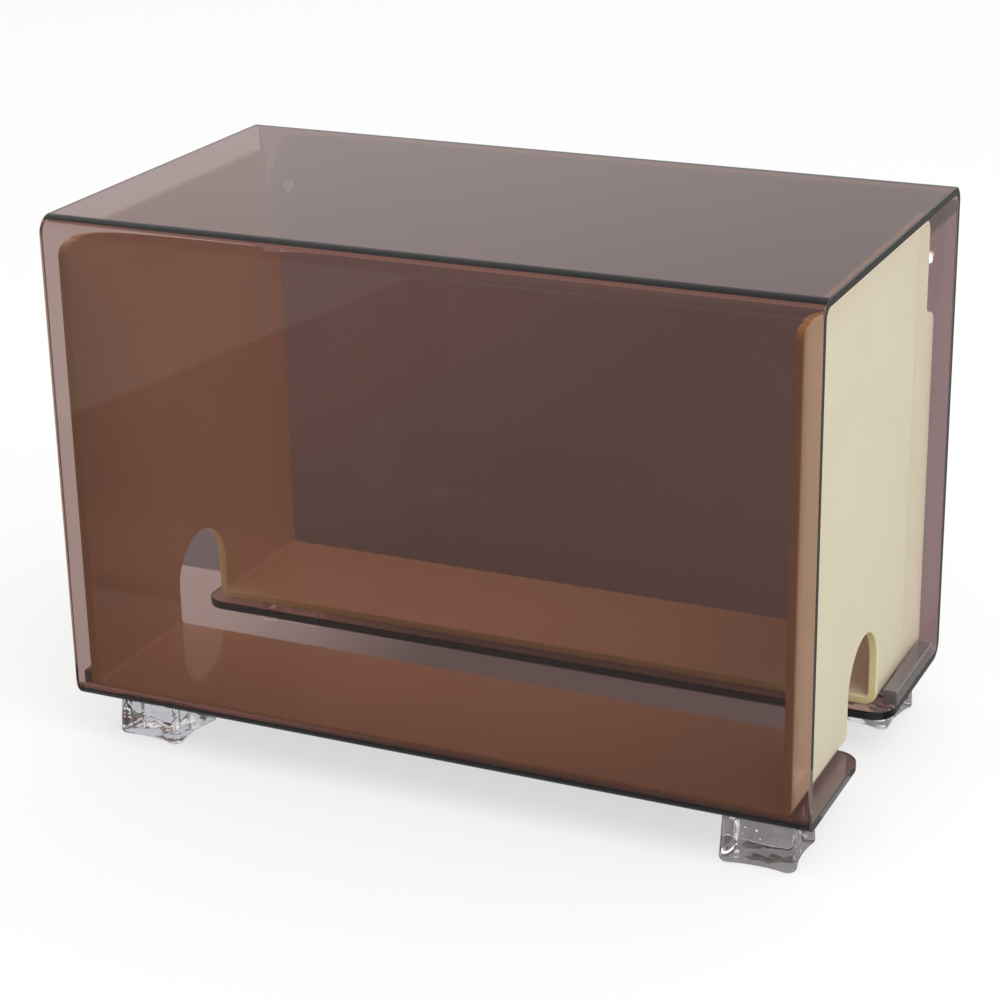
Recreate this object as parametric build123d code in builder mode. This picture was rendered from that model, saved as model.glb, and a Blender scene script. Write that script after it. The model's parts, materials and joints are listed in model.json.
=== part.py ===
from build123d import *
import os

# Wipes dispenser box: a smoked cover bent from one sheet, a cream cradle bent
# from another that stands inside it, two stop bars and four moulded feet.
# All sizes are in millimetres. X runs along the box, Y from its front panel to
# its rear panel, Z up. The origin is on the floor under the middle of the box.

# Cover, one sheet bent into front panel, top, rear panel and two floor lips
cover_length = 260
cover_depth = 145
cover_height = 168
cover_sheet = 3
cover_bend_inside = 3
front_lip_depth = 55
rear_lip_depth = 60
lip_corner_radius = 8
cover_edge_ease = 0.4

# Hanging holes through the rear panel
hanging_hole_diameter = 5
hanging_hole_from_end = 10
hanging_hole_from_top = 25.5

# Stop bars glued on the lips, flush with the ends of the cover
bar_width = 5
bar_height = 5
front_bar_bend_gap = 0.5
rear_bar_bend_gap = 3
bar_edge_ease = 0.3

# Cradle, one sheet bent into left end wall, floor and right end wall
cradle_sheet = 3
cradle_bend_inside = 1.5
cradle_end_play = 1.2
cradle_panel_gap = 0.3
cradle_headroom = 6
cradle_corner_radius = 4.5
relief_depth = 9
relief_height = 34.5
relief_rise = 2.8
relief_inner_radius = 3
relief_outer_radius = 4
slot_width = 32
slot_behind_middle = 1.5
notch_height = 32

# Feet, clear blocks glued under the lips by hand
foot_width = 28.4
foot_height = 15
foot_side_bow = 2.8
foot_corner_radius = 3
foot_draft_angle = 3.5
foot_edge_ease = 1.5
# where each foot stands: its middle from the nearer end and the nearer panel
front_left_foot_from_end = 23.7
front_left_foot_from_panel = 19.4
front_right_foot_from_end = 17.7
front_right_foot_from_panel = 14.5
rear_left_foot_from_end = 20
rear_left_foot_from_panel = 20.5
rear_right_foot_from_end = 18.3
rear_right_foot_from_panel = 23
# each foot is turned a little, in degrees
front_left_foot_turn = -4.4
front_right_foot_turn = 1.2
rear_left_foot_turn = 2.5
rear_right_foot_turn = -7.4

# Heights and faces that the pieces share
lip_underside = foot_height
lip_top = lip_underside + cover_sheet
cover_middle = lip_underside + cover_height / 2
cover_top = lip_underside + cover_height
front_face = -cover_depth / 2
rear_face = cover_depth / 2
left_end = -cover_length / 2
right_end = cover_length / 2
cover_bend_outside = cover_bend_inside + cover_sheet
lip_gap_front = front_face + front_lip_depth
lip_gap_rear = rear_face - rear_lip_depth

os.makedirs("parts", exist_ok=True)

# Cover: the section of the bent sheet, open between its two lips
with BuildPart() as cover:
    with BuildSketch(Plane.YZ.offset(left_end)):
        with Locations((0, cover_middle)):
            RectangleRounded(cover_depth, cover_height, cover_bend_outside)
            RectangleRounded(
                cover_depth - 2 * cover_sheet,
                cover_height - 2 * cover_sheet,
                cover_bend_inside,
                mode=Mode.SUBTRACT,
            )
        with Locations((lip_gap_front, lip_underside)):
            Rectangle(
                lip_gap_rear - lip_gap_front,
                cover_sheet,
                align=(Align.MIN, Align.MIN),
                mode=Mode.SUBTRACT,
            )
    extrude(amount=cover_length)
    # the free corners of both lips are rounded
    lip_corners = cover.edges().filter_by(Axis.Z).group_by(SortBy.LENGTH)[0]
    fillet(lip_corners, radius=lip_corner_radius)
    # the cut edges of the sheet are eased all round
    cut_faces = cover.faces().filter_by(Axis.X)
    fillet(cut_faces.edges(), radius=cover_edge_ease)
    # two holes near the upper corners of the rear panel
    with BuildSketch(Plane.XZ.offset(-rear_face)):
        with Locations((0, cover_top - hanging_hole_from_top)):
            with GridLocations(cover_length - 2 * hanging_hole_from_end, 1, 2, 1):
                Circle(hanging_hole_diameter / 2)
    extrude(amount=cover_sheet, mode=Mode.SUBTRACT)
cover.part.label = "cover"
export_step(cover.part, "parts/cover.step")

# Stop bars: square strips from the end of a bend to the rounded lip corner
bend_end = cover_sheet + cover_bend_inside
bar_spans = {
    "stop_bar_left_front": (
        left_end,
        front_face + bend_end + front_bar_bend_gap,
        lip_gap_front - lip_corner_radius,
    ),
    "stop_bar_right_rear": (
        right_end - bar_width,
        lip_gap_rear + lip_corner_radius,
        rear_face - bend_end - rear_bar_bend_gap,
    ),
}
for bar_name, (bar_left, bar_front, bar_rear) in bar_spans.items():
    with BuildPart() as stop_bar:
        with BuildSketch(Plane.XY.offset(lip_top)):
            with Locations((bar_left, bar_front)):
                Rectangle(bar_width, bar_rear - bar_front, align=(Align.MIN, Align.MIN))
        extrude(amount=bar_height)
        upper_edges = stop_bar.faces().sort_by(Axis.Z)[-1].edges()
        chamfer(upper_edges, length=bar_edge_ease)
    stop_bar.part.label = bar_name
    export_step(stop_bar.part, f"parts/{bar_name}.step")

# Cradle: a bent channel, cut to the outline of its end walls
cradle_length = cover_length - 2 * bar_width - cradle_end_play
cradle_left = left_end + bar_width
cradle_right = cradle_left + cradle_length
cradle_depth = cover_depth - 2 * cover_sheet - 2 * cradle_panel_gap
cradle_front = -cradle_depth / 2
cradle_rear = cradle_depth / 2
cradle_top = cover_top - cover_sheet - cradle_headroom
relief_front = cradle_rear - relief_depth
relief_floor = cradle_top - relief_height
slot_radius = slot_width / 2
with BuildPart() as cradle:
    with BuildSketch(Plane.XZ.offset(-cradle_rear)):
        with BuildLine():
            FilletPolyline(
                (cradle_left, cradle_top),
                (cradle_left, lip_top),
                (cradle_right, lip_top),
                (cradle_right, cradle_top),
                radius=cradle_bend_inside + cradle_sheet,
            )
            offset(amount=cradle_sheet, side=Side.LEFT)
        make_face()
    extrude(amount=cradle_depth)
    # side outline: lower corners follow the bends of the cover, upper corners
    # are rounded, and a relief with a sloping floor at the rear leaves room
    # for a screw head
    with BuildSketch(Plane.YZ.offset(cradle_left)):
        with BuildLine():
            FilletPolyline(
                (cradle_front, lip_top),
                (cradle_rear, lip_top),
                (cradle_rear, relief_floor),
                (relief_front, relief_floor + relief_rise),
                (relief_front, cradle_top),
                (cradle_front, cradle_top),
                radius=[
                    cover_bend_inside,
                    cover_bend_inside,
                    relief_outer_radius,
                    relief_inner_radius,
                    cradle_corner_radius,
                    cradle_corner_radius,
                ],
                close=True,
            )
        make_face()
    extrude(amount=cradle_length, mode=Mode.INTERSECT)
    # the dispensing slot runs the whole floor and ends as an arch in each wall
    with BuildSketch(Plane.YZ.offset(cradle_left)):
        with Locations((slot_behind_middle, lip_top + notch_height - slot_radius)):
            Circle(slot_radius)
            Rectangle(slot_width, notch_height, align=(Align.CENTER, Align.MAX))
    extrude(amount=cradle_length, mode=Mode.SUBTRACT)
cradle.part.label = "cradle"
export_step(cradle.part, "parts/cradle.step")

# Feet: square blocks with bowed sides that widen towards the floor
foot_half = foot_width / 2
bow_radius = (foot_half**2 + foot_side_bow**2) / (2 * foot_side_bow)
with BuildPart() as foot:
    with BuildSketch() as footprint:
        Rectangle(foot_width, foot_width)
        with PolarLocations(foot_half - foot_side_bow + bow_radius, 4):
            Circle(bow_radius, mode=Mode.SUBTRACT)
        fillet(footprint.vertices(), radius=foot_corner_radius)
    extrude(amount=foot_height, taper=foot_draft_angle)
    fillet(foot.faces().sort_by(Axis.Z)[0].edges(), radius=foot_edge_ease)
foot_places = {
    "foot_front_left": (
        left_end + front_left_foot_from_end,
        front_face + front_left_foot_from_panel,
        front_left_foot_turn,
    ),
    "foot_front_right": (
        right_end - front_right_foot_from_end,
        front_face + front_right_foot_from_panel,
        front_right_foot_turn,
    ),
    "foot_rear_left": (
        left_end + rear_left_foot_from_end,
        rear_face - rear_left_foot_from_panel,
        rear_left_foot_turn,
    ),
    "foot_rear_right": (
        right_end - rear_right_foot_from_end,
        rear_face - rear_right_foot_from_panel,
        rear_right_foot_turn,
    ),
}
for foot_name, (foot_x, foot_y, foot_turn) in foot_places.items():
    placed_foot = foot.part.moved(Location((foot_x, foot_y, 0), (0, 0, foot_turn)))
    placed_foot.label = foot_name
    export_step(placed_foot, f"parts/{foot_name}.step")
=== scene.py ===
import bpy
import json
import math
from mathutils import Matrix, Vector

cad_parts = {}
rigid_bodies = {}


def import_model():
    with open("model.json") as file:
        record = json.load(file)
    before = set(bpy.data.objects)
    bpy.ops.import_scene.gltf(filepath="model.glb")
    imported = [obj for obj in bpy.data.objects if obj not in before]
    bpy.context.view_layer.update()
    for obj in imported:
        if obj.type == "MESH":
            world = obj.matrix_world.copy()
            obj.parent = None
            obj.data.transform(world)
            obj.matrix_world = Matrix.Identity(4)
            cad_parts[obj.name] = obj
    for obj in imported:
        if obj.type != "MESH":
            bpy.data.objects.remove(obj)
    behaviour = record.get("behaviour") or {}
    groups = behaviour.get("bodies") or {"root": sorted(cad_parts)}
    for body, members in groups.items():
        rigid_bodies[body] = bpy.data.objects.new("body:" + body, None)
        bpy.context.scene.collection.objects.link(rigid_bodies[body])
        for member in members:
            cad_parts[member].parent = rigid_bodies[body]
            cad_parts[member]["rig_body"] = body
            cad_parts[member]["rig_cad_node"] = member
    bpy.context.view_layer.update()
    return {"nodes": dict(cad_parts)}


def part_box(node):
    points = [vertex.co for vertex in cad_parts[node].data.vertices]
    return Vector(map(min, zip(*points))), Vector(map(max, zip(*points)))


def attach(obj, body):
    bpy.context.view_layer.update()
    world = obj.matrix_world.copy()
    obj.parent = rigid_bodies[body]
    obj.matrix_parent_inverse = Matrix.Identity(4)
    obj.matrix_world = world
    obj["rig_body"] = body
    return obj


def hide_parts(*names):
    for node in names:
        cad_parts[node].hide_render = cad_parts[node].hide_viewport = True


# Wipes dispenser box: brown smoke acrylic cover, cream acrylic cradle inside it,
# two stop bars and four clear feet. Everything is in metres, in the frame of the model.
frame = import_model()
mm = 0.001
# the nodes are loose triangles: their copies are merged, flat faces are joined and curves shaded smooth
meshCopy = dict(mergeWithin=0.002 * mm, flatWithin=0.2, smoothDegrees=30)
print("frame loaded:", sorted(frame["nodes"]))


def linearColour(hexText, alpha=1.0):
    channels = [int(hexText[i:i + 2], 16) / 255 for i in (1, 3, 5)]
    return tuple(c / 12.92 if c <= 0.04045 else ((c + 0.055) / 1.055) ** 2.4 for c in channels) + (alpha,)


def addNode(tree, kind, settings=None, links=None, **attributes):
    node = tree.nodes.new(kind)
    for name, value in attributes.items():
        setattr(node, name, value)
    for name, value in (settings or {}).items():
        node.inputs[name].default_value = value
    for name, source in (links or {}).items():
        tree.links.new(source, node.inputs[name])
    return node


def newMaterial(name):
    material = bpy.data.materials.new(name)
    material.use_nodes = True
    material.node_tree.nodes.clear()
    return material, material.node_tree


def deselectAll():
    for thing in bpy.context.view_layer.objects:
        thing.select_set(False)


def pickOnly(piece):
    deselectAll()
    piece.select_set(True)
    bpy.context.view_layer.objects.active = piece


def shiftMesh(piece, offset):
    pickOnly(piece)
    bpy.ops.object.mode_set(mode="EDIT")
    bpy.ops.mesh.select_all(action="SELECT")
    bpy.ops.transform.translate(value=offset)
    bpy.ops.object.mode_set(mode="OBJECT")


def copyNode(nodeName, pieceName, smoothDegrees=meshCopy["smoothDegrees"]):
    piece = frame["nodes"][nodeName].copy()
    piece.data = piece.data.copy()
    piece.name = pieceName
    piece.parent = None
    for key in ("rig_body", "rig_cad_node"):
        del piece[key]
    bpy.context.scene.collection.objects.link(piece)
    piece.data.materials.clear()
    pickOnly(piece)
    bpy.ops.object.mode_set(mode="EDIT")
    bpy.ops.mesh.select_all(action="SELECT")
    bpy.ops.mesh.remove_doubles(threshold=meshCopy["mergeWithin"])
    bpy.ops.mesh.dissolve_limited(angle_limit=math.radians(meshCopy["flatWithin"]))
    bpy.ops.object.mode_set(mode="OBJECT")
    bpy.ops.object.shade_smooth_by_angle(angle=math.radians(smoothDegrees))
    return piece


def weightNormals(piece):
    pickOnly(piece)
    bpy.ops.object.modifier_add(type="WEIGHTED_NORMAL")
    piece.modifiers[-1].keep_sharp = True
    piece.modifiers[-1].weight = 100
    bpy.ops.object.modifier_apply(modifier=piece.modifiers[-1].name)


def dress(piece, material, nodeName):
    piece.data.materials.clear()
    piece.data.materials.append(material)
    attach(piece, "root")
    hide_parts(nodeName)


acrylicIor = 1.49
cementIor = 1.46
# the values that a noise pattern mostly takes
noiseRange = {"From Min": 0.35, "From Max": 0.65}


def surfaceNoise(tree, size, detail=2.0, stretch=(1, 1, 1)):
    coordinates = addNode(tree, "ShaderNodeTexCoord")
    mapping = addNode(tree, "ShaderNodeMapping", {"Scale": stretch},
                      {"Vector": coordinates.outputs["Object"]})
    return addNode(tree, "ShaderNodeTexNoise", {"Scale": 1.0 / size, "Detail": detail},
                   {"Vector": mapping.outputs["Vector"]})


# shadows and the light inside pass through clear plastic nearly unchanged
def glassOutput(tree, surface, shadowTint, volume=None):
    path = addNode(tree, "ShaderNodeLightPath")
    clear = addNode(tree, "ShaderNodeBsdfTransparent", {"Color": (shadowTint, shadowTint, shadowTint, 1)})
    both = addNode(tree, "ShaderNodeMixShader", links={
        0: path.outputs["Is Shadow Ray"], 1: surface.outputs[0], 2: clear.outputs[0]})
    output = addNode(tree, "ShaderNodeOutputMaterial", links={"Surface": both.outputs[0]})
    if volume:
        tree.links.new(volume.outputs[0], output.inputs["Volume"])


# brown smoke acrylic, cast sheet: clear through, and darker along its cut edges, because light runs far inside;
# absorption is per metre for red, green and blue
smoke = dict(absorption=(190.0, 308.0, 350.0), density=400.0, shadow=0.92, waveSize=55 * mm, waveDepth=0.08 * mm,
             smearSize=24 * mm, smearRoughness=0.05)


def smokeVolume(tree):
    tint = tuple(1 - a / smoke["density"] for a in smoke["absorption"]) + (1,)
    return addNode(tree, "ShaderNodeVolumeAbsorption", {"Color": tint, "Density": smoke["density"]})


def smokeAcrylic():
    material, tree = newMaterial("smokeAcrylicSheet")
    smears = surfaceNoise(tree, smoke["smearSize"], detail=4.0)
    smear = addNode(tree, "ShaderNodeMapRange", {**noiseRange, "To Min": 0.0, "To Max": smoke["smearRoughness"]},
                    {"Value": smears.outputs["Fac"]})
    waves = surfaceNoise(tree, smoke["waveSize"])
    wave = addNode(tree, "ShaderNodeBump", {"Strength": 1.0, "Distance": smoke["waveDepth"]},
                   {"Height": waves.outputs["Fac"]})
    sheet = addNode(tree, "ShaderNodeBsdfPrincipled", {
        "Base Color": (1, 1, 1, 1), "IOR": acrylicIor, "Transmission Weight": 1.0},
        {"Roughness": smear.outputs[0], "Normal": wave.outputs[0]})
    glassOutput(tree, sheet, smoke["shadow"], smokeVolume(tree))
    return material


# the same acrylic sawn into square strips: saw marks dull its faces to a slate grey
strip = dict(tone="#CBC5CA", through=0.82, roughness=(0.06, 0.16), markSize=1.3 * mm, markDepth=0.03 * mm,
             edgeEase=0.2 * mm, easeSteps=2, sharperThan=50)


def sawnSmokeAcrylic():
    material, tree = newMaterial("sawnSmokeAcrylicStrip")
    marks = surfaceNoise(tree, strip["markSize"], detail=3.0, stretch=(1.0, 0.12, 1.0))
    dull = addNode(tree, "ShaderNodeMapRange", {
        **noiseRange, "To Min": strip["roughness"][0], "To Max": strip["roughness"][1]},
        {"Value": marks.outputs["Fac"]})
    groove = addNode(tree, "ShaderNodeBump", {"Strength": 1.0, "Distance": strip["markDepth"]},
                     {"Height": marks.outputs["Fac"]})
    face = addNode(tree, "ShaderNodeBsdfPrincipled", {
        "Base Color": linearColour(strip["tone"]), "IOR": acrylicIor, "Transmission Weight": strip["through"]},
        {"Roughness": dull.outputs[0], "Normal": groove.outputs[0]})
    glassOutput(tree, face, smoke["shadow"], smokeVolume(tree))
    return material


# clear moulded acrylic: colourless, with the soft ripple that thick mouldings keep as they cool;
# a little of the light goes straight through
moulded = dict(shadow=0.95, rippleSize=5.5 * mm, rippleDepth=0.16 * mm, film=0.05, filmTint=(0.95, 0.94, 0.96, 1))


def mouldedBlock(tree, rippleDepth):
    ripples = surfaceNoise(tree, moulded["rippleSize"])
    soft = addNode(tree, "ShaderNodeBump", {"Strength": 1.0, "Distance": rippleDepth},
                   {"Height": ripples.outputs["Fac"]})
    return addNode(tree, "ShaderNodeBsdfPrincipled", {
        "Base Color": (1, 1, 1, 1), "Roughness": 0.0, "IOR": acrylicIor, "Transmission Weight": 1.0},
        {"Normal": soft.outputs[0]})


def clearAcrylic():
    material, tree = newMaterial("clearMouldedAcrylic")
    block = mouldedBlock(tree, moulded["rippleDepth"])
    straight = addNode(tree, "ShaderNodeBsdfTransparent", {"Color": moulded["filmTint"]})
    skin = addNode(tree, "ShaderNodeMixShader", {0: moulded["film"]},
                   {1: block.outputs[0], 2: straight.outputs[0]})
    glassOutput(tree, skin, moulded["shadow"])
    return material


# underside of the feet: it clings to the paper in patches, which show the paper instead of mirroring the box
cling = dict(patchSize=9 * mm, patchFrom=0.44, patchTo=0.50, tint=(0.96, 0.96, 0.97, 1), rippleDepth=0.32 * mm)


def clearAcrylicUnderside():
    material, tree = newMaterial("clearMouldedAcrylicUnderside")
    block = mouldedBlock(tree, cling["rippleDepth"])
    patchNoise = surfaceNoise(tree, cling["patchSize"])
    patches = addNode(tree, "ShaderNodeMapRange", {
        "From Min": cling["patchFrom"], "From Max": cling["patchTo"]}, {"Value": patchNoise.outputs["Fac"]})
    touching = addNode(tree, "ShaderNodeBsdfTransparent", {"Color": cling["tint"]})
    under = addNode(tree, "ShaderNodeMixShader", links={
        0: patches.outputs[0], 1: block.outputs[0], 2: touching.outputs[0]})
    glassOutput(tree, under, moulded["shadow"])
    return material


# dried acrylic cement: glassy drops with a ripple finer than the feet have
cement = dict(tint=(0.96, 0.95, 0.97, 1), shadow=0.9, rippleSize=1.4 * mm, rippleDepth=0.12 * mm,
              roughness=(0.02, 0.12))


def acrylicCement():
    material, tree = newMaterial("driedAcrylicCement")
    wrinkle = surfaceNoise(tree, cement["rippleSize"], detail=3.0)
    dull = addNode(tree, "ShaderNodeMapRange", {
        **noiseRange, "To Min": cement["roughness"][0], "To Max": cement["roughness"][1]},
        {"Value": wrinkle.outputs["Fac"]})
    soft = addNode(tree, "ShaderNodeBump", {"Strength": 1.0, "Distance": cement["rippleDepth"]},
                   {"Height": wrinkle.outputs["Fac"]})
    drop = addNode(tree, "ShaderNodeBsdfPrincipled", {
        "Base Color": cement["tint"], "IOR": cementIor, "Transmission Weight": 1.0},
        {"Roughness": dull.outputs[0], "Normal": soft.outputs[0]})
    glassOutput(tree, drop, cement["shadow"])
    return material


# white specks: cement that dried with air in it
foam = dict(tones=("#E4E0DC", "#F6F4F0"), grainSize=0.25 * mm, roughness=0.4)


def foamedCement():
    material, tree = newMaterial("foamedAcrylicCement")
    grain = surfaceNoise(tree, foam["grainSize"])
    dullTone, brightTone = (linearColour(tone) for tone in foam["tones"])
    tone = addNode(tree, "ShaderNodeMix", {6: dullTone, 7: brightTone}, {0: grain.outputs["Fac"]},
                   data_type="RGBA")
    speck = addNode(tree, "ShaderNodeBsdfPrincipled", {"Roughness": foam["roughness"], "IOR": cementIor},
                    {"Base Color": tone.outputs[2]})
    addNode(tree, "ShaderNodeOutputMaterial", links={"Surface": speck.outputs[0]})
    return material


# cream opal acrylic, extruded sheet: glossy, with a barely seen cloudiness and wipe marks
cream = dict(tones=("#DFD5BA", "#E2D8BE"), cloudSize=30 * mm, roughness=(0.05, 0.07), smearSize=20 * mm,
             peelSize=2.5 * mm, peelDepth=0.002 * mm)


def creamAcrylic():
    material, tree = newMaterial("creamOpalAcrylicSheet")
    clouds = surfaceNoise(tree, cream["cloudSize"], detail=3.0)
    cloud = addNode(tree, "ShaderNodeMapRange", noiseRange, {"Value": clouds.outputs["Fac"]})
    darkTone, lightTone = (linearColour(tone) for tone in cream["tones"])
    tone = addNode(tree, "ShaderNodeMix", {6: darkTone, 7: lightTone}, {0: cloud.outputs[0]}, data_type="RGBA")
    smears = surfaceNoise(tree, cream["smearSize"], detail=4.0)
    smear = addNode(tree, "ShaderNodeMapRange", {
        **noiseRange, "To Min": cream["roughness"][0], "To Max": cream["roughness"][1]},
        {"Value": smears.outputs["Fac"]})
    peelNoise = surfaceNoise(tree, cream["peelSize"])
    peel = addNode(tree, "ShaderNodeBump", {"Strength": 1.0, "Distance": cream["peelDepth"]},
                   {"Height": peelNoise.outputs["Fac"]})
    sheet = addNode(tree, "ShaderNodeBsdfPrincipled", {"IOR": acrylicIor}, {
        "Base Color": tone.outputs[2], "Roughness": smear.outputs[0], "Normal": peel.outputs[0]})
    addNode(tree, "ShaderNodeOutputMaterial", links={"Surface": sheet.outputs[0]})
    return material


# its cut edges: painted yellower, a painted glow standing in for light that ran inside the sheet and leaves there;
# faint marks run across them
creamCut = dict(tones=("#E3D69C", "#E8DCA6"), markSize=0.9 * mm, markDepth=0.004 * mm, roughness=(0.18, 0.28))


def creamCutEdge():
    material, tree = newMaterial("creamAcrylicCutEdgePaintedGlow")
    marks = surfaceNoise(tree, creamCut["markSize"], stretch=(0.1, 1.0, 1.0))
    darkTone, lightTone = (linearColour(tone) for tone in creamCut["tones"])
    tone = addNode(tree, "ShaderNodeMix", {6: darkTone, 7: lightTone}, {0: marks.outputs["Fac"]}, data_type="RGBA")
    dull = addNode(tree, "ShaderNodeMapRange", {
        **noiseRange, "To Min": creamCut["roughness"][0], "To Max": creamCut["roughness"][1]},
        {"Value": marks.outputs["Fac"]})
    groove = addNode(tree, "ShaderNodeBump", {"Strength": 1.0, "Distance": creamCut["markDepth"]},
                     {"Height": marks.outputs["Fac"]})
    edge = addNode(tree, "ShaderNodeBsdfPrincipled", {"IOR": acrylicIor}, {
        "Base Color": tone.outputs[2], "Roughness": dull.outputs[0], "Normal": groove.outputs[0]})
    addNode(tree, "ShaderNodeOutputMaterial", links={"Surface": edge.outputs[0]})
    return material


smokeSheet = smokeAcrylic()
smokeStrip = sawnSmokeAcrylic()
clearBlock = clearAcrylic()
clearUnderside = clearAcrylicUnderside()
cementDrop = acrylicCement()
cementFoam = foamedCement()
creamSheet = creamAcrylic()
creamEdge = creamCutEdge()
print("materials made")

# a film of air keeps faces that touch from lying in one plane
airFilm = 0.03 * mm

cover = copyNode("cover", "cover_sheet")
weightNormals(cover)
dress(cover, smokeSheet, "cover")
print("cover made")

# cradle: its cut edges are broken by hand, so they catch a soft line of light
cradleLook = dict(edgeEase=0.45 * mm, easeSteps=3, sharperThan=50, smoothDegrees=35,
                  wallsAbove=30 * mm, cutSideFrom=0.3, wallFaceFrom=0.5)


def easeEdges(piece, width, steps, sharperThan):
    pickOnly(piece)
    bpy.ops.object.modifier_add(type="BEVEL")
    ease = piece.modifiers[-1]
    ease.width = width
    ease.segments = steps
    ease.limit_method = "ANGLE"
    ease.angle_limit = math.radians(sharperThan)
    ease.use_clamp_overlap = False
    bpy.ops.object.modifier_apply(modifier=ease.name)
    bpy.ops.object.shade_smooth_by_angle(angle=math.radians(cradleLook["smoothDegrees"]))


cradle = copyNode("cradle", "cradle_sheet")
easeEdges(cradle, cradleLook["edgeEase"], cradleLook["easeSteps"], cradleLook["sharperThan"])
shiftMesh(cradle, (0, 0, airFilm))
weightNormals(cradle)
dress(cradle, creamSheet, "cradle")
cradle.data.materials.append(creamEdge)
# the cut faces take the cut-edge material with its painted yellower glow
for face in cradle.data.polygons:
    cutSide = abs(face.normal.y) > cradleLook["cutSideFrom"]
    cutTop = face.center.z > cradleLook["wallsAbove"] and abs(face.normal.x) < cradleLook["wallFaceFrom"]
    if cutSide or cutTop:
        face.material_index = 1
print("cradle made")

for barNode in ("stop_bar_left_front", "stop_bar_right_rear"):
    bar = copyNode(barNode, barNode + "_strip")
    easeEdges(bar, strip["edgeEase"], strip["easeSteps"], strip["sharperThan"])
    shiftMesh(bar, (0, 0, airFilm))
    weightNormals(bar)
    dress(bar, smokeStrip, barNode)
print("stop bars made")

# feet: the flat underside keeps a shallow sink mark
sink = dict(rim=0.6 * mm, inner=0.78, depth=0.3 * mm, flatBelow=-0.9999, undersideBelow=-0.9,
            smoothDegrees=40)
for footNode in ("foot_front_left", "foot_front_right", "foot_rear_left", "foot_rear_right"):
    foot = copyNode(footNode, footNode + "_block", sink["smoothDegrees"])
    pickOnly(foot)
    bpy.ops.object.mode_set(mode="EDIT")
    bpy.ops.mesh.select_mode(type="FACE")
    bpy.ops.mesh.select_all(action="DESELECT")
    bpy.ops.object.mode_set(mode="OBJECT")
    for face in foot.data.polygons:
        face.select = face.normal.z < sink["flatBelow"]
    bpy.ops.object.mode_set(mode="EDIT")
    bpy.ops.mesh.inset(thickness=sink["rim"])
    lowCorner, highCorner = (Vector(corner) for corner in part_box(footNode))
    footMiddle = (lowCorner + highCorner) / 2
    bpy.ops.transform.resize(value=(sink["inner"], sink["inner"], 1), center_override=footMiddle)
    bpy.ops.transform.translate(value=(0, 0, sink["depth"]))
    bpy.ops.object.mode_set(mode="OBJECT")
    shiftMesh(foot, (0, 0, -airFilm))
    weightNormals(foot)
    dress(foot, clearBlock, footNode)
    foot.data.materials.append(clearUnderside)
    for face in foot.data.polygons:
        if face.normal.z < sink["undersideBelow"]:
            face.material_index = 1
print("feet made")

# cement that was squeezed out when the bars were glued, as flattened drops: middle, size in mm, and a turn
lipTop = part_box("stop_bar_right_rear")[0][2] / mm
cementDrops = dict(
    cement_right_front=dict(middle=(126.4, 18.6, lipTop), size=(6.5, 3.6, 1.0), turn=10),
    cement_right_inner=dict(middle=(122.4, 27.5, lipTop), size=(4.4, 17.0, 0.8), turn=-3),
    cement_right_rear=dict(middle=(127.4, 64.6, lipTop + 1.6), size=(4.4, 3.0, 4.6), turn=8),
    cement_left_rear=dict(middle=(-126.8, -23.8, lipTop), size=(5.6, 3.2, 0.9), turn=-8),
    cement_left_inner=dict(middle=(-122.6, -52.0, lipTop), size=(3.8, 15.0, 0.7), turn=2))
dropLook = dict(rippleSize=1.6 * mm, rippleDepth=0.35 * mm, rounds=5, material=cementDrop)
speckLook = dict(rippleSize=0.4 * mm, rippleDepth=0.10 * mm, rounds=3, material=cementFoam)
cementMesh = dict(midLevel=0.6, smoothDegrees=60)


def makeCement(name, shape, look, flatHeight=None):
    middle = Vector(shape["middle"]) * mm
    deselectAll()
    bpy.ops.mesh.primitive_ico_sphere_add(subdivisions=look["rounds"], radius=0.5 * mm, location=middle)
    drop = bpy.context.object
    drop.name = name
    bpy.ops.object.transform_apply(location=True, rotation=False, scale=False)
    bpy.ops.object.mode_set(mode="EDIT")
    bpy.ops.mesh.select_all(action="SELECT")
    bpy.ops.transform.resize(value=shape["size"], center_override=middle)
    bpy.ops.transform.rotate(value=math.radians(shape["turn"]), orient_axis="Z", center_override=middle)
    bpy.ops.object.mode_set(mode="OBJECT")
    uneven = bpy.data.textures.new(name + "Uneven", "CLOUDS")
    uneven.noise_scale = look["rippleSize"]
    bpy.ops.object.modifier_add(type="DISPLACE")
    push = drop.modifiers[-1]
    push.texture = uneven
    push.texture_coords = "LOCAL"
    push.strength = look["rippleDepth"]
    push.mid_level = cementMesh["midLevel"]
    bpy.ops.object.modifier_apply(modifier=push.name)
    if flatHeight:
        # flat where it lies on the lip
        bpy.ops.object.mode_set(mode="EDIT")
        bpy.ops.mesh.select_all(action="SELECT")
        bpy.ops.mesh.bisect(plane_co=(0, 0, flatHeight), plane_no=(0, 0, 1), clear_inner=True, use_fill=True)
        bpy.ops.object.mode_set(mode="OBJECT")
    bpy.ops.object.shade_smooth_by_angle(angle=math.radians(cementMesh["smoothDegrees"]))
    drop.data.materials.append(look["material"])
    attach(drop, "root")


for dropName, dropShape in cementDrops.items():
    makeCement(dropName, dropShape, dropLook, lipTop * mm + airFilm)

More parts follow.
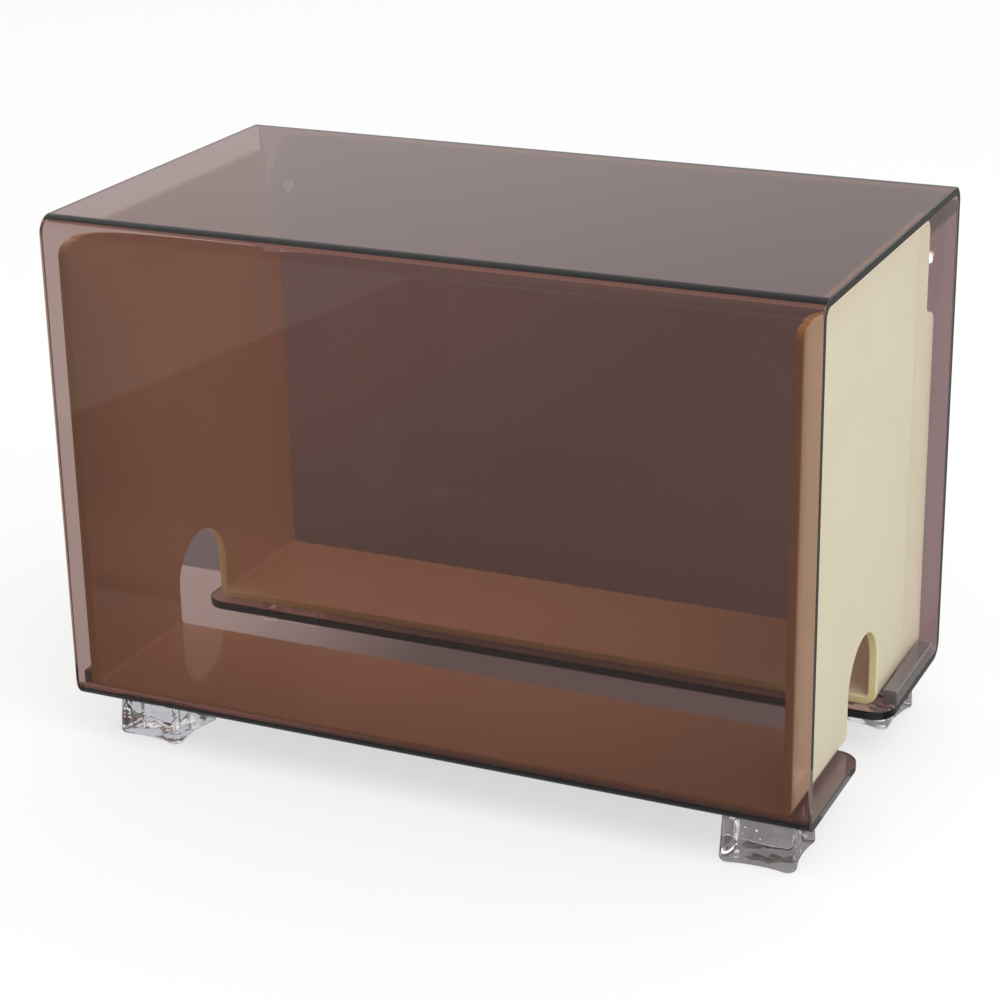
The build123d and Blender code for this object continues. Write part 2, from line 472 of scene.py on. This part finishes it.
# white specks of cement near the feet: middle, size in mm, and a turn
cementSpecks = dict(
    speck_foot_right_high=dict(middle=(113.4, -72.0, 14.2), size=(0.8, 0.35, 0.9), turn=0),
    speck_foot_right_low=dict(middle=(114.6, -72.1, 11.6), size=(0.5, 0.3, 0.5), turn=0),
    speck_foot_right_left=dict(middle=(109.8, -71.9, 14.6), size=(1.1, 0.3, 0.35), turn=0),
    speck_foot_right_small=dict(middle=(108.9, -72.0, 12.4), size=(0.4, 0.3, 0.35), turn=0),
    speck_lip_left=dict(middle=(-96.2, -71.9, 17.2), size=(0.6, 0.4, 0.45), turn=0))
for speckName, speckShape in cementSpecks.items():
    makeCement(speckName, speckShape, speckLook)
print("cement made")

# pale floor: white to the camera; what the plastic shows of it has a painted soft shadow under the box
floorLook = dict(height=-2 * airFilm, size=8.0, plain=0.72, seen="#FCFCFC", mirrored="#D9D9D6",
                 lit="#D6D9DE", shaded="#8E8A8F", seenGlow=0.65, mirroredGlow=0.5, shownGlow=0.2,
                 shadowMiddle=(0.06, 0.03, 0), shadowFrom=0.10, shadowTo=0.19)


def makeFloor():
    deselectAll()
    bpy.ops.mesh.primitive_plane_add(size=floorLook["size"], location=(0, 0, floorLook["height"]))
    floor = bpy.context.object
    floor.name = "floor"
    material, tree = newMaterial("paperFloor")
    path = addNode(tree, "ShaderNodeLightPath")
    coordinates = addNode(tree, "ShaderNodeTexCoord")
    away = addNode(tree, "ShaderNodeVectorMath", {1: floorLook["shadowMiddle"]},
                   {0: coordinates.outputs["Object"]}, operation="DISTANCE")
    shadowFade = addNode(tree, "ShaderNodeMapRange", {
        "From Min": floorLook["shadowFrom"], "From Max": floorLook["shadowTo"]},
        {"Value": away.outputs["Value"]}, interpolation_type="SMOOTHSTEP")
    # painted shadow: the shaded tone under the box fades to the lit tone away from its middle
    shadedTone, litTone = linearColour(floorLook["shaded"]), linearColour(floorLook["lit"])
    paintedShadowTone = addNode(tree, "ShaderNodeMix", {6: shadedTone, 7: litTone}, {0: shadowFade.outputs[0]},
                        data_type="RGBA")
    plainTone = (floorLook["plain"],) * 3 + (1,)
    mirrored = addNode(tree, "ShaderNodeMix", {6: plainTone, 7: linearColour(floorLook["mirrored"])},
                       {0: path.outputs["Is Glossy Ray"]}, data_type="RGBA")
    shown = addNode(tree, "ShaderNodeMix", links={
        0: path.outputs["Is Transmission Ray"], 6: mirrored.outputs[2], 7: paintedShadowTone.outputs[2]},
        data_type="RGBA")
    seen = addNode(tree, "ShaderNodeMix", {7: linearColour(floorLook["seen"])},
                   {0: path.outputs["Is Camera Ray"], 6: shown.outputs[2]}, data_type="RGBA")
    paper = addNode(tree, "ShaderNodeBsdfDiffuse", links={"Color": seen.outputs[2]})
    glow = addNode(tree, "ShaderNodeEmission", links={"Color": seen.outputs[2]})
    # part of the paper glows though it is no lamp, for what is seen, mirrored or shown: painted light that keeps
    # the shadow pale;
    # a ray that went through plastic is both a glossy and a transmission ray
    seenPart = addNode(tree, "ShaderNodeMath", {1: floorLook["seenGlow"]}, {0: path.outputs["Is Camera Ray"]},
                       operation="MULTIPLY")
    mirroredPart = addNode(tree, "ShaderNodeMath", {1: floorLook["mirroredGlow"]}, {
        0: path.outputs["Is Glossy Ray"], 2: seenPart.outputs[0]}, operation="MULTIPLY_ADD")
    glowPart = addNode(tree, "ShaderNodeMath", {1: floorLook["shownGlow"]}, {
        0: path.outputs["Is Transmission Ray"], 2: mirroredPart.outputs[0]}, operation="MULTIPLY_ADD")
    both = addNode(tree, "ShaderNodeMixShader", links={
        0: glowPart.outputs[0], 1: paper.outputs[0], 2: glow.outputs[0]})
    addNode(tree, "ShaderNodeOutputMaterial", links={"Surface": both.outputs[0]})
    floor.data.materials.append(material)


# grey cards on the floor, out of the camera's sight, that carry painted shade: two darken, as painted reflection,
# what the front panel and the right end mirror, two paint the box's shadow seen through the rear panel; a tone
# fades to the next from left to right
paintedShadeCards = dict(
    # painted darker reflection in the front panel
    front=dict(corners=((-0.376, -0.030), (0.60, -0.030), (0.60, -2.2), (0.0, -2.2)),
               tones=("#9A9A9A", "#9A9A9A"), fade=(0, 1), ray="glossy"),
    # painted darker reflection in the right end
    right=dict(corners=((0.135, 0.0), (1.2, 0.0), (1.2, 1.6), (0.135, 1.6)),
               tones=("#8F8E8A", "#8F8E8A"), fade=(0, 1), ray="glossy"),
    # painted shadow of the box behind it, seen only through the rear panel, lighter to the left
    rear=dict(corners=((-0.190, 0.075), (0.094, 0.075), (-0.036, 0.505), (-0.036, 1.6), (-0.90, 1.6)),
              tones=("#A0A4AE", "#899298"), fade=(-0.26, -0.10), ray="transmission"),
    rearRight=dict(corners=((0.094, 0.075), (0.60, 0.075), (0.60, 1.6), (-0.036, 1.6), (-0.036, 0.505)),
                   tones=("#B2AFBE", "#B2AFBE"), fade=(0, 1), ray="transmission"))
cardHeight = -1.5 * airFilm
# half of each card glows though it is no lamp, so its painted shade holds without light
cardGlow = 0.5


def makePaintedShadeCard(name, look):
    deselectAll()
    bpy.ops.mesh.primitive_circle_add(vertices=len(look["corners"]), radius=1.0, fill_type="NGON")
    card = bpy.context.object
    card.name = name
    for vertex, corner in zip(card.data.vertices, look["corners"]):
        vertex.co = (corner[0], corner[1], cardHeight)
    material, tree = newMaterial(name + "PaintedShadeBoard")
    coordinates = addNode(tree, "ShaderNodeTexCoord")
    across = addNode(tree, "ShaderNodeSeparateXYZ", links={0: coordinates.outputs["Object"]})
    fade = addNode(tree, "ShaderNodeMapRange", {"From Min": look["fade"][0], "From Max": look["fade"][1]},
                   {"Value": across.outputs["X"]})
    leftTone, rightTone = (linearColour(tone) for tone in look["tones"])
    tone = addNode(tree, "ShaderNodeMix", {6: leftTone, 7: rightTone}, {0: fade.outputs[0]}, data_type="RGBA")
    board = addNode(tree, "ShaderNodeBsdfDiffuse", links={"Color": tone.outputs[2]})
    glow = addNode(tree, "ShaderNodeEmission", links={"Color": tone.outputs[2]})
    both = addNode(tree, "ShaderNodeMixShader", {0: cardGlow}, {1: board.outputs[0], 2: glow.outputs[0]})
    addNode(tree, "ShaderNodeOutputMaterial", links={"Surface": both.outputs[0]})
    card.data.materials.append(material)
    card.visible_camera = False
    card.visible_diffuse = False
    card.visible_shadow = False
    card.visible_glossy = look["ray"] == "glossy"
    card.visible_transmission = look["ray"] == "transmission"


# the soft room: what gloss mirrors of it is darker on the right and behind the camera, with a bright
# stretch at the far right that draws light lines along the eased edges
room = dict(dome=0.92, seen=1.0, mirrorLeft=0.78, mirrorRight=0.67, leftFrom=-0.48, leftTo=-0.27,
            cameraSide=0.62, sideFrom=-0.6, sideTo=0.2, bright=0.9, brightFrom=0.05, brightTo=0.30,
            mirrorTint=(1, 0.985, 1, 1))


def makeWorld():
    world = bpy.data.worlds.new("softStudio")
    bpy.context.scene.world = world
    world.use_nodes = True
    tree = world.node_tree
    tree.nodes.clear()
    path = addNode(tree, "ShaderNodeLightPath")
    direction = addNode(tree, "ShaderNodeTexCoord")
    across = addNode(tree, "ShaderNodeSeparateXYZ", links={0: direction.outputs["Generated"]})
    sideways = addNode(tree, "ShaderNodeMapRange", {
        "From Min": room["leftFrom"], "From Max": room["leftTo"],
        "To Min": room["mirrorLeft"], "To Max": room["mirrorRight"]}, {"Value": across.outputs["X"]})
    depth = addNode(tree, "ShaderNodeMapRange", {
        "From Min": room["sideFrom"], "From Max": room["sideTo"], "To Min": room["cameraSide"]},
        {"Value": across.outputs["Y"]})
    farRight = addNode(tree, "ShaderNodeMapRange", {
        "From Min": room["brightFrom"], "From Max": room["brightTo"], "To Max": room["bright"]},
        {"Value": across.outputs["X"]})
    sides = addNode(tree, "ShaderNodeMath", links={0: sideways.outputs[0], 1: farRight.outputs[0]},
                    operation="ADD")
    mirrorLevel = addNode(tree, "ShaderNodeMath", links={0: sides.outputs[0], 1: depth.outputs[0]},
                          operation="MULTIPLY")
    dome = addNode(tree, "ShaderNodeBackground", {"Color": (1, 1, 1, 1), "Strength": room["dome"]})
    mirrored = addNode(tree, "ShaderNodeBackground", {"Color": room["mirrorTint"]},
                       {"Strength": mirrorLevel.outputs[0]})
    seen = addNode(tree, "ShaderNodeBackground", {"Color": (1, 1, 1, 1), "Strength": room["seen"]})
    rest = addNode(tree, "ShaderNodeMixShader", links={
        0: path.outputs["Is Glossy Ray"], 1: dome.outputs[0], 2: mirrored.outputs[0]})
    both = addNode(tree, "ShaderNodeMixShader", links={
        0: path.outputs["Is Camera Ray"], 1: rest.outputs[0], 2: seen.outputs[0]})
    addNode(tree, "ShaderNodeOutputWorld", links={"Surface": both.outputs[0]})


# one soft box above, to the right of the camera
softBox = dict(place=(0.9, -0.5, 1.4), size=1.2, power=11.0, aimedAt=(0, 0, 0.08))


def makeSoftBox():
    deselectAll()
    bpy.ops.object.light_add(type="AREA", location=softBox["place"])
    lamp = bpy.context.object
    lamp.name = "softBoxTop"
    lamp.data.shape = "SQUARE"
    lamp.data.size = softBox["size"]
    lamp.data.energy = softBox["power"]
    aim = Vector(softBox["aimedAt"]) - lamp.location
    lamp.rotation_euler = aim.to_track_quat("-Z", "Y").to_euler()


makeFloor()
for cardName, cardLook in paintedShadeCards.items():
    makePaintedShadeCard(cardName + "Card", cardLook)
makeWorld()
makeSoftBox()
print("stage and light made")

# the camera stands where the photo was taken from, a little rolled
view = dict(azimuth=24.8, elevation=21.108, roll=-1.02, distance=863.18 * mm, lens=92.87,
            target=(-2.236 * mm, -3.278 * mm, 80.563 * mm), sensor=36, seesFrom=0.01, seesTo=50)


def makeCamera():
    azimuth, elevation, roll = (math.radians(view[k]) for k in ("azimuth", "elevation", "roll"))
    level = math.cos(elevation)
    back = Vector((math.sin(azimuth) * level, -math.cos(azimuth) * level, math.sin(elevation)))
    right = (-back).cross(Vector((0, 0, 1))).normalized()
    up = right.cross(-back)
    rightRolled = math.cos(roll) * right + math.sin(roll) * up
    upRolled = -math.sin(roll) * right + math.cos(roll) * up
    deselectAll()
    bpy.ops.object.camera_add()
    camera = bpy.context.object
    turn = Matrix((rightRolled, upRolled, back)).transposed().to_4x4()
    camera.matrix_world = Matrix.Translation(Vector(view["target"]) + back * view["distance"]) @ turn
    camera.data.lens = view["lens"]
    camera.data.sensor_width = view["sensor"]
    camera.data.clip_start = view["seesFrom"]
    camera.data.clip_end = view["seesTo"]
    bpy.context.scene.camera = camera


makeCamera()
scene = bpy.context.scene
scene.view_settings.view_transform = "Standard"
# enough for every layer that a ray can cross
rayLayers = 15
scene.cycles.max_bounces = rayLayers
scene.cycles.transmission_bounces = rayLayers
scene.cycles.transparent_max_bounces = rayLayers
print("camera set")
